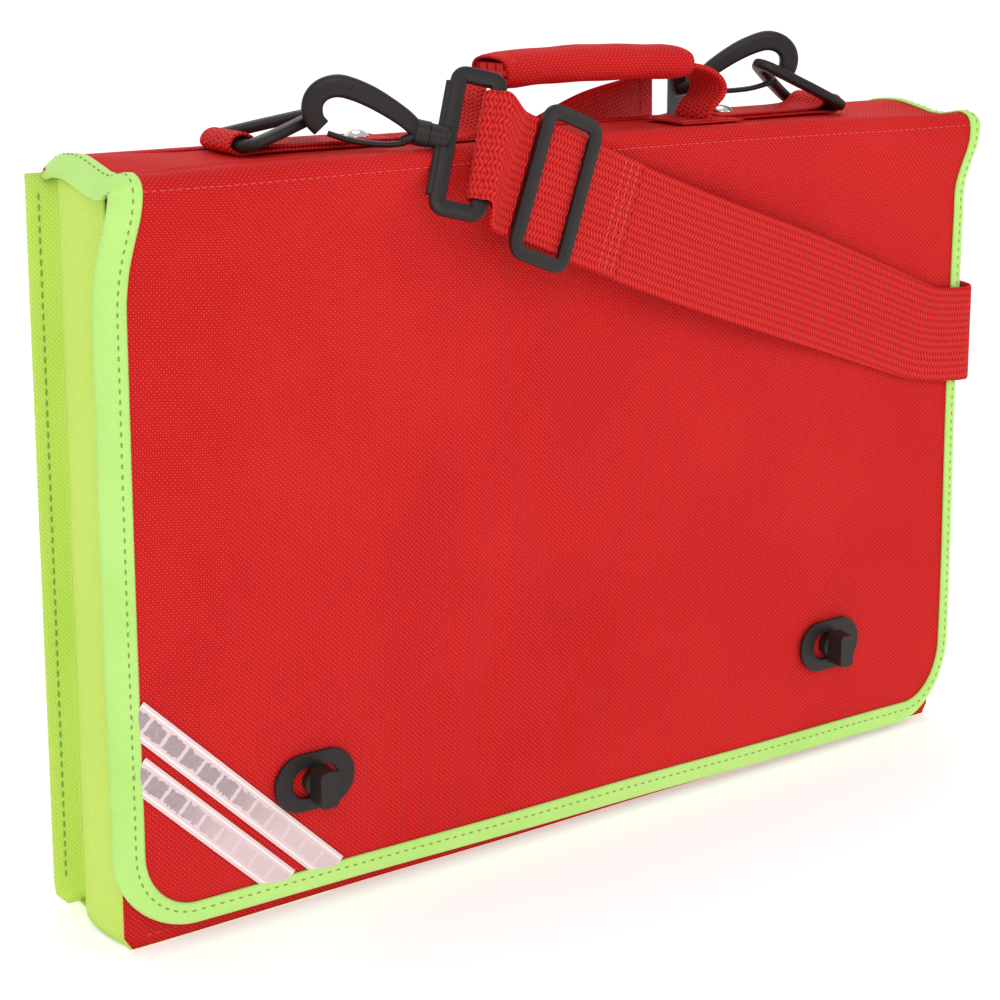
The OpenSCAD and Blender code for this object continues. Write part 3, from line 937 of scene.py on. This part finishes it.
def gusset(name, s, cad):
    """One side strip: s is -1 on the left and 1 on the right."""
    rows = []
    for z in np.linspace(gusset_top, 1.0, 60):
        rows.append([(s * x, y, z) for x, y in smooth_path(gusset_outline(z), 3)])
    if s < 0:
        rows = [r[::-1] for r in rows]
    obj = grid_mesh(name, rows, 1.1)
    dress(obj, lime_cloth, "root", "lime_fabric", cad)
    line = [((s * 219.8, 22.3, z), (0, -1, 0)) for z in np.linspace(290, 10, 60)]
    stitches(name + "_stitches", [line], 4.2, 2.6, 0.34, lime_thread, "root", "lime_fabric")


gusset("gusset_cloth_left", -1, "gusset_left")
gusset("gusset_cloth_right", 1, "gusset_right")
print("gussets sewn in")

# %% [markdown]
# ## Seams and the hinge of the lid
# The front panel has a hem and the back panel has a seam over each flange. A short strip of the same
# cloth joins the back to the lid.

# %% Seams and the hinge of the lid
hem = [[((x, -25.1, z), (0, -1, 0)) for x in np.linspace(-208, 208, 90)] for z in (4.4,)]
stitches("front_hem_stitches", hem, 3.6, 2.4, 0.3, red_thread, "root", "red_fabric")
back_seams = [[((s * 219, 25.6, z), (0, 1, 0)) for z in np.linspace(284, 8, 60)] for s in (-1, 1)]
stitches("back_seam_stitches", back_seams, 4.0, 2.5, 0.3, red_thread, "root", "red_fabric")
hinge_section = [(25.6, 284), (25.8, 292), (26.0, 297.5), (25.6, 300.6)]
hinge_section += [(23.8, 302.2), (19, 302.4), (15, 302.3)]
hinge_rows = [[(x, y, z) for x in np.linspace(-212, 212, 40)] for y, z in hinge_section]
hinge = grid_mesh("hinge_cloth", hinge_rows, 0.5)
dress(hinge, red_cloth, None, "red_fabric")
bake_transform(hinge)
print("body sewn")

# %% [markdown]
# ## Turn locks
# An oval plate with a slot is let into the flap. A boss on the front panel comes through it, and the
# knob on the boss stands upright when it is locked. All are moulded plastic with softened edges.

# %% Knobs and plates
def prism(name, outline, y0, y1, bevel, holes=()):
    """Extrude an outline in XZ from y0 to y1, with holes, and soften its edges."""
    bm = bmesh.new()
    for loop in [outline, *holes]:
        vs = [bm.verts.new((x / 1000, y0 / 1000, z / 1000)) for x, z in loop]
        for i in range(len(vs)):
            bm.edges.new((vs[i], vs[(i + 1) % len(vs)]))
    bmesh.ops.triangle_fill(bm, use_beauty=True, use_dissolve=False, edges=bm.edges[:])
    made = bmesh.ops.extrude_face_region(bm, geom=bm.faces[:])
    for v in [g for g in made["geom"] if isinstance(g, bmesh.types.BMVert)]:
        v.co.y = y1 / 1000
    bmesh.ops.recalc_face_normals(bm, faces=bm.faces)
    mesh = bpy.data.meshes.new(name)
    bm.to_mesh(mesh)
    bm.free()
    obj = bpy.data.objects.new(name, mesh)
    bpy.context.collection.objects.link(obj)
    mod = obj.modifiers.new("soft_edges", "BEVEL")
    mod.width = bevel / 1000
    mod.segments = 3
    mod.limit_method = "ANGLE"
    mod.angle_limit = math.radians(50)
    return obj


def pill(cx, cz, w, h, k=16):
    """An outline with two half-round ends."""
    r = h / 2
    pts = []
    for side, start in ((1, -90), (-1, 90)):
        for i in range(k + 1):
            a = math.radians(start + 180 * i / k)
            pts.append((cx + side * (w / 2 - r) + r * math.cos(a), cz + r * math.sin(a)))
    return pts


def knob_outline(cx, cz, w, h, r=1.8, k=5):
    """A rectangle with round corners."""
    pts = []
    for sx, sz, start in ((1, -1, -90), (1, 1, 0), (-1, 1, 90), (-1, -1, 180)):
        for i in range(k + 1):
            a = math.radians(start + 90 * i / k)
            pts.append((cx + sx * (w / 2 - r) + r * math.cos(a), cz + sz * (h / 2 - r) + r * math.sin(a)))
    return pts


for side, tag in ((-1, "left"), (1, "right")):
    cx, cz = side * 138, 55
    plate = prism("lock_plate_" + tag, pill(cx, cz, 36, 24), -36.9, -35.0, 0.6, [pill(cx, cz, 20.5, 12.4)])
    dress(plate, black_plastic, "lid", "black_plastic", *(["lock_plate_front"] if side < 0 else []))
    collar_path = [(cx, y, cz) for y in (-37.0, -37.3, -38.6, -39.2)]
    collar = sweep("knob_collar_" + tag, collar_path, oval(5.6, 5.6, 28), (1, 0, 0))
    dress(collar, black_plastic, "knob_" + tag, "black_plastic")
    knob = prism("knob_" + tag, knob_outline(cx, cz, 8, 15), -48.2, -38.9, 0.8)
    dress(knob, black_plastic, "knob_" + tag, "black_plastic", "turn_knob_" + tag)
print("locks fitted")

# %% [markdown]
# ## Rivets
# A domed rivet is a turned shape, so its outline is turned about its own axis: rings of points from the
# crown to the rim.

# %% Rivets
rivet_x = 95
rivet_foot = 304.9
dome_outline = [(1.6, 2.85), (3.2, 2.3), (4.4, 1.3), (5.0, 0.35), (5.2, 0), (5.0, -0.3)]
around_dome = [2 * math.pi * q / 32 for q in range(32)]


def rivet_dome(tag, s):
    """The head of one rivet: s is -1 on the left and 1 on the right."""
    verts = [(s * rivet_x, -1, rivet_foot + 3.0)]
    for r, h in dome_outline:
        verts += [(s * rivet_x + r * math.cos(t), -1 + r * math.sin(t), rivet_foot + h) for t in around_dome]
    faces = [(0, 1 + q, 1 + (q + 1) % 32) for q in range(32)]
    for ring in range(len(dome_outline) - 1):
        a = 1 + ring * 32
        faces += [(a + q, a + 32 + q, a + 32 + (q + 1) % 32, a + (q + 1) % 32) for q in range(32)]
    dome = make_mesh("rivet_dome_" + tag, verts, faces)
    dress(dome, nickel, "lid", "nickel", *(["rivet"] if s < 0 else []))


print("rivet head ready")

# %% [markdown]
# ## Tabs for the rings
# Each ring's bar lies in the fold of a webbing tab. The tab is riveted to the lid with a domed nickel
# rivet, and the handle's patches are sewn on beside it.

# %% Tabs
tab_under = [(84, 302.2), (96, 302.6), (120, 302.8), (138, 302.9), (147, 302.6), (153, 302.4)]
tab_loop = [(157.2, 305.2), (155.6, 309.0), (151.6, 310.2), (147.6, 308.6)]
tab_over = [(144, 305.6), (136, 304.6), (120, 304.4), (100, 304.3), (84, 304.0)]
for s, tag in ((-1, "left"), (1, "right")):
    rows = [((s * x, -1, z), (0, 25, 0)) for x, z in tab_under + tab_loop + tab_over]
    tab, _ = ribbon("ring_tab_web_" + tag, rows, 1.3, 5)
    dress(tab, red_webbing, "lid", "red_webbing", "ring_tab_" + tag)
    box_line = [((s * 140, y, 305.2), (0, 0, 1)) for y in np.linspace(-12, 10, 10)]
    stitches("tab_stitches_" + tag, [box_line], 2.8, 2.0, 0.3, red_thread, "lid", "red_webbing")
    rivet_dome(tag, s)
print("tabs sewn and riveted")

# %% [markdown]
# ## Rings
# Each ring is a long triangle with round corners. It stands up from its tab at the angle at which the
# hook holds it, and the right one stands steeper.

# %% Rings
ring_bar = [(0, -14), (0, 0), (0, 14)]
ring_side = [(-1, 16.4), (-4, 17), (-16, 12.9), (-31, 6.4), (-36.6, 3.4)]
ring_outline = ring_bar + ring_side + [(-38.6, 0)] + [(u, -v) for u, v in ring_side[::-1]]
for s, tag, tilt in ((-1, "left", 13), (1, "right", 29)):
    t = math.radians(tilt)
    pts = []
    for u, v in smooth_path(ring_outline, 5, True):
        pts.append((s * (152 + u * math.cos(t)), -1 + v, 306.0 - u * math.sin(t)))
    ring = sweep("ring_mould_" + tag, pts, oval(2.2, 3.1, 16, 0.55), (math.sin(s * t), 0, math.cos(t)), True)
    dress(ring, black_plastic, "ring_" + tag[0], "black_plastic", "ring_" + tag)
print("rings in their tabs")

# %% [markdown]
# ## Snap hooks
# A hook is moulded in one piece: an arm that bends over to the nose, a spur under the mouth and a
# round collar. A sprung gate closes the mouth. The arm is made from a line and a row of half sizes,
# because its section grows from the collar to the bend and shrinks again at the nose.

# %% Hooks and gates
def taper_sweep(name, path, halves, up):
    """A moulded bar whose section changes: halves gives its half sizes along its length."""
    path = np.array(path, float)
    pos = np.linspace(0, 1, len(halves))
    rings = []
    for i, p in enumerate(path):
        t = i / (len(path) - 1)
        a, b = (np.interp(t, pos, [h[q] for h in halves]) for q in (0, 1))
        rings.append(oval(a, b, 16, 0.55))
    obj = sweep(name, path, rings[0], up)
    k = 16
    for i, p in enumerate(path):
        t = unit(path[min(i + 1, len(path) - 1)] - path[max(i - 1, 0)])
        s = unit(np.array(up) - t * float(np.dot(up, t)))
        m = np.cross(t, s)
        for j, (u, v) in enumerate(rings[i]):
            obj.data.vertices[i * k + j].co = Vector((p + u * s + v * m) / 1000)
    obj.data.update()
    return obj


arm_line = [(-3, 0.2), (-7, 1.6), (-12, 4.4), (-20, 7.6), (-28, 10), (-36, 11.2), (-41, 10.6)]
nose_line = [(-45.2, 8.0), (-47.4, 4.2), (-47.4, 0), (-45.6, -3.8), (-42.4, -6.2)]
arm_halves = [(2.8, 3.0), (2.9, 3.6), (3.0, 4.2), (3.2, 4.5), (3.2, 4.4), (3.0, 4.2), (2.8, 3.8)]
spur_line = [(-3, 0), (-7, -2), (-11, -4.6)]
gate_line = [(-9.6, -5.0), (-14, -6.6), (-20, -7.8), (-29, -8.6), (-39.6, -7.8)]
collar_steps = (-6.4, -6.2, -5.6, -1.8, -1.4, -1.2)
barrel_steps = (-1.0, -0.8, -0.2, 3.0, 5.0, 7.0)


def hook(tag, at):
    """One moulded hook: arm and nose, spur, collar and its sprung gate."""
    path = [at((x, 0, z)) for x, z in smooth_path(arm_line + nose_line, 4)]
    up = at((0, 1, 0)) - at((0, 0, 0))
    arm = taper_sweep("hook_arm_" + tag, path, arm_halves, up)
    dress(arm, black_plastic, "hook_" + tag[0], "black_plastic", "hook_" + tag)
    spur_path = [at((x, 0, z)) for x, z in smooth_path(spur_line, 4)]
    spur = sweep("hook_spur_" + tag, spur_path, oval(2.4, 2.1, 12), up)
    dress(spur, black_plastic, "hook_" + tag[0], "black_plastic")
    collar_path = [at((x, 0, 0)) for x in collar_steps]
    collar = sweep("hook_collar_" + tag, collar_path, oval(5.2, 5.2, 24), up)
    dress(collar, black_plastic, "hook_" + tag[0], "black_plastic")
    gate_path = [at((x, 0, z)) for x, z in smooth_path(gate_line, 5)]
    gate = sweep("gate_bar_" + tag, gate_path, oval(2.6, 1.2, 12), up)
    dress(gate, black_plastic, "gate_" + tag[0], "black_plastic", "gate_" + tag)


hook("left", pose((-82, -37, 307.5), 12.8, -29.7, 0))
hook("right", pose((93, 20, 316), 12.5, 150, 0))
print("hooks and gates moulded")

# %% [markdown]
# ## Loop frames and the adjuster
# Both are flat rectangles with round corners, swept from one outline with extra points on the straight
# sides. The loop frame has a barrel that turns on the hook's shank and a wider bar beside it. The
# webbing goes through both, and the adjuster slides on it.

# %% Loop frames and the adjuster
def rounded_loop(x0, x1, half_height, r, k=5):
    """A closed outline in the plane of a frame, corner by corner."""
    high, low = half_height - r, r - half_height
    pts = []
    for cx, cz, start in ((x1 - r, high, 0), (x0 + r, high, 90), (x0 + r, low, 180), (x1 - r, low, 270)):
        for i in range(k + 1):
            a = math.radians(start + 90 * i / k)
            pts.append((cx + r * math.cos(a), 0.0, cz + r * math.sin(a)))
    return pts


def densify(pts, step=4.0):
    """Add points along the straight sides, so that no face is longer than step."""
    out = []
    for i in range(len(pts)):
        a, b = np.array(pts[i]), np.array(pts[(i + 1) % len(pts)])
        m = max(1, int(np.linalg.norm(b - a) / step))
        out += [a + (b - a) * q / m for q in range(m)]
    return out


for fn, tag in ((left_loop, "left"), (right_loop, "right")):
    loop = [fn(p) for p in densify(rounded_loop(6.4, 22.6, 28.4, 3.0))]
    normal = fn((0, 1, 0)) - fn((0, 0, 0))
    frame_obj = sweep("loop_frame_" + tag, loop, oval(1.9, 3.3, 16, 0.5), normal, True)
    dress(frame_obj, black_plastic, "lid", "black_plastic", "strap_frame_" + tag)
    barrel_path = [fn((x, 0, 0)) for x in barrel_steps]
    barrel = sweep("loop_barrel_" + tag, barrel_path, oval(4.8, 4.8, 24), normal)
    dress(barrel, black_plastic, "lid", "black_plastic")
    plate_path = [fn((5.6, 0, z)) for z in (-24, -23.6, -23, -12, 0, 12, 23, 23.6, 24)]
    bar_plate = sweep("loop_plate_" + tag, plate_path, oval(1.5, 4.0, 16, 0.35), normal)
    dress(bar_plate, black_plastic, "lid", "black_plastic")

adjuster_place = (39, -1.4, 0)
frame_path = [run(np.array(p) + adjuster_place) for p in densify(rounded_loop(-12.4, 12.4, 29.4, 4.5))]
side_vec = run((0, 1, 0)) - run((0, 0, 0))
adjuster = sweep("adjuster_frame", frame_path, oval(1.5, 3.0, 16, 0.45), side_vec, True)
dress(adjuster, black_plastic, "adjuster", "black_plastic", "slider")
print("frames moulded")

# %% [markdown]
# ## Carry handle
# A leg of webbing rises from each patch into a padded sleeve. The sleeve is a sewn tube of the red
# cloth: fuller in the middle, flatter at its ends, with its seam along the front.

# %% The padded sleeve
grip_x, grip_y = 15.0, -6.0
grip_half = 49.0


def arch(gx, rise=1.6):
    """How much the sleeve lifts towards its middle."""
    return rise * (1 - (gx / grip_half) ** 2)


def sleeve_ring(gx):
    """One ring of the sleeve: rounder in the middle, flatter and tighter at its ends."""
    end = min((grip_half - abs(gx)) / 8.0, 1.0)
    half_deep = 13.0 * (0.94 + 0.06 * end)
    half_high = 6.6 * (0.80 + 0.20 * end ** 0.5)
    ring = []
    for j in range(33):
        a = 2 * math.pi * j / 32
        c, sn = math.cos(a), math.sin(a)
        ry = half_deep * math.copysign(abs(c) ** 0.8, c)
        rz = half_high * math.copysign(abs(sn) ** 0.75, sn)
        ripple = 0.25 * math.sin(gx / 4.1 + 2 * a) + 0.3 * math.sin(gx / 9.0 + a)
        ring.append((grip_x + gx, grip_y + ry + 0.2 * ripple, 328.4 + arch(gx) + rz + 0.5 * ripple))
    return ring


grip = grid_mesh("grip_sleeve", [sleeve_ring(gx) for gx in np.linspace(-grip_half, grip_half, 61)], 1.0)
dress(grip, red_cloth, "handle", "red_fabric", "handle_grip")
core_rows = [((grip_x + gx, grip_y, 328.2 + arch(gx, 1.4)), (0, 22, 0)) for gx in (-48, -25, 0, 25, 48)]
core, _ = ribbon("grip_core", core_rows, 7.0, 5)
dress(core, red_webbing, "handle", "red_webbing")
seam_line = []
for gx in np.linspace(-47, 47, 50):
    seam_line.append(((grip_x + gx, grip_y - 11.6, 332.9 + arch(gx)), (0, -0.6, 0.8)))
stitches("grip_stitches", [seam_line], 3.2, 2.2, 0.3, red_thread, "handle", "red_fabric")
print("sleeve sewn")

# %% [markdown]
# ## Legs and patches of the handle
# Each leg runs from its foot, sewn to the lid, up into the sleeve, and is made where it stands, on no
# body. Each foot is covered by a patch of the red cloth.

# %% Legs and patches of the handle
left_foot = [(-77, 302.9), (-70, 302.9), (-64, 304.2), (-61.4, 308), (-60.4, 313)]
left_top = [(-60.6, 319), (-58.5, 324.5), (-53, 327.4), (-46, 328.2)]
right_foot = [(69, 302.9), (63, 303.0), (59.6, 304.6), (61.5, 309), (66.4, 313.4)]
right_top = [(67.6, 317.6), (64.6, 322), (57, 326), (46, 328.2)]
patch_x = 8.0
for s, tag, line in ((-1, "left", left_foot + left_top), (1, "right", right_foot + right_top)):
    leg_rows = [((grip_x + x, grip_y - 0.6, z), (0, 24, 0)) for x, z in line]
    leg, _ = ribbon("handle_leg_" + tag, leg_rows, 2.2, 6)
    dress(leg, red_webbing, None, "red_webbing", *(["handle_webbing"] if s < 0 else []))
    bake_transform(leg)
    patch_rows = []
    for x in (50, 58, 68, 80, 84):
        row = [(patch_x + s * x, y, 302.9 + 0.5 * math.cos((y + 6) / 10)) for y in np.linspace(-20, 8, 12)]
        patch_rows.append(row)
    if s < 0:
        patch_rows = patch_rows[::-1]
    patch = grid_mesh("handle_patch_" + tag, patch_rows, 0.8)
    dress(patch, red_cloth, "lid", "red_fabric", *(["handle_anchor"] if s < 0 else []))
    lines = []
    for y in (-18.4, -16.4, 6.4):
        lines.append([((patch_x + s * x, y, 303.5), (0, 0, 1)) for x in np.linspace(51, 83, 12)])
    stitches("patch_stitches_" + tag, lines, 3.0, 2.1, 0.3, red_thread, "lid", "red_fabric")
print("handle sewn")

# %% [markdown]
# ## Parts kept from the frame
# The stiffening boards, the lock feet and the rear lock plates keep their CAD shapes, which are right,
# and only get their finish.

# %% Finish the kept parts
boards = ["back_board", "base_board", "band_board", "flap_board"]
lock_parts = ["lock_base_left", "lock_base_right", "lock_plate_back"]
for names, material in ((boards, board_card), (lock_parts, black_plastic)):
    for name in names:
        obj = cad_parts[name]
        obj.data.materials.clear()
        obj.data.materials.append(material)
print("kept", sorted(boards + lock_parts))

# %% [markdown]
# ## Floor
# A sheet of white paper lies under the bag and turns up far behind it. It glows a little, as paper does
# when it is lit from all sides, which keeps it white without washing out the reds.

# %% Floor
floor_mat, floor_tree, floor_shader = new_material("floor_paper", (0.93, 0.93, 0.93), 0.85)
grain = mottle(floor_tree, 3.0)
paper = tint(floor_tree, grain, (0.92, 0.92, 0.92), (0.95, 0.95, 0.95))
floor_tree.links.new(paper, floor_shader.inputs["Base Color"])
floor_shader.inputs["Emission Color"].default_value = (1, 1, 1, 1)
floor_shader.inputs["Emission Strength"].default_value = 0.36
backdrop = [(-4000, -0.6), (1600, -0.6), (2100, 60), (2500, 400), (2700, 1000), (2750, 3500)]
floor_rows = [[(x, y, z) for x in np.linspace(-4000, 4000, 9)] for y, z in backdrop]
floor = grid_mesh("floor", floor_rows)
floor.data.materials.append(floor_mat)
print("floor laid")

# %% [markdown]
# ## Light
# Three round soft lamps and an even white sky. The key stands front left, the fill at the right, and
# the top lamp draws a pale line along the handle and the folds.

# %% Light
middle_of_bag = (0, 0, 0.15)


def area_light(name, place, aim, size, power):
    """A round soft lamp at place, turned towards aim."""
    data = bpy.data.lights.new(name, "AREA")
    data.shape = "DISK"
    data.size = size
    data.energy = power
    obj = bpy.data.objects.new(name, data)
    bpy.context.collection.objects.link(obj)
    obj.location = place
    obj.rotation_euler = (Vector(place) - Vector(aim)).to_track_quat("Z", "Y").to_euler()


area_light("key", (-1.1, -1.6, 1.5), middle_of_bag, 1.3, 12.5)
area_light("fill", (1.6, -1.3, 0.9), middle_of_bag, 1.4, 6)
area_light("top", (0.1, 0.3, 1.9), (0, 0, 0.2), 1.2, 5.5)
world = bpy.data.worlds.new("sky")
bpy.context.scene.world = world
world.use_nodes = True
world.node_tree.nodes["Background"].inputs[0].default_value = (1, 1, 1, 1)
world.node_tree.nodes["Background"].inputs[1].default_value = 0.60
print("lights set")

# %% [markdown]
# ## End

# %% End
print("pieces made")
